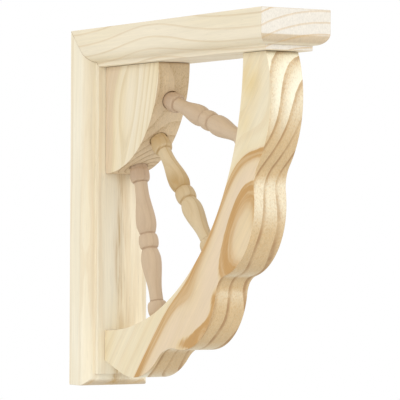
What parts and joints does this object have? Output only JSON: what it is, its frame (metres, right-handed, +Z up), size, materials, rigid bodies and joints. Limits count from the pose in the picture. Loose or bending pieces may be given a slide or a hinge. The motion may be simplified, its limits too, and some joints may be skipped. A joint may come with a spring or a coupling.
{
  "type": "wooden corbel bracket",
  "caption": "Unfinished pine corbel bracket: two mitred moulded boards, a quarter-round corner block, a scalloped curved brace and turned spindles between them.",
  "frame": {"origin": "centre of the wall board's back face, on the wall", "axes": "+Y into the wall, out of the back face; the bracket stands out towards -Y; +Z up; X across the bracket"},
  "size_m": [0.064, 0.312, 0.305],
  "materials": {
    "wall_board_pine": "bare sanded pine, faint upright grain",
    "top_board_pine": "bare sanded pine with a sawn end",
    "corner_block_pine": "bare sawn pine, dark end grain lines",
    "brace_pine": "bare bandsawn pine with bold slanting grain",
    "turned_birch": "bare turned wood, pinkish tan",
    "turned_pine": "bare turned wood, yellowish tan"
  },
  "bodies": {
    "root": {"wall_board": "wall_board_pine", "top_board": "top_board_pine", "corner_block": "corner_block_pine", "scalloped_brace": "brace_pine", "spindle_upper": "turned_birch", "spindle_middle": "turned_pine", "spindle_lower": "turned_birch"}
  },
  "joints": []
}
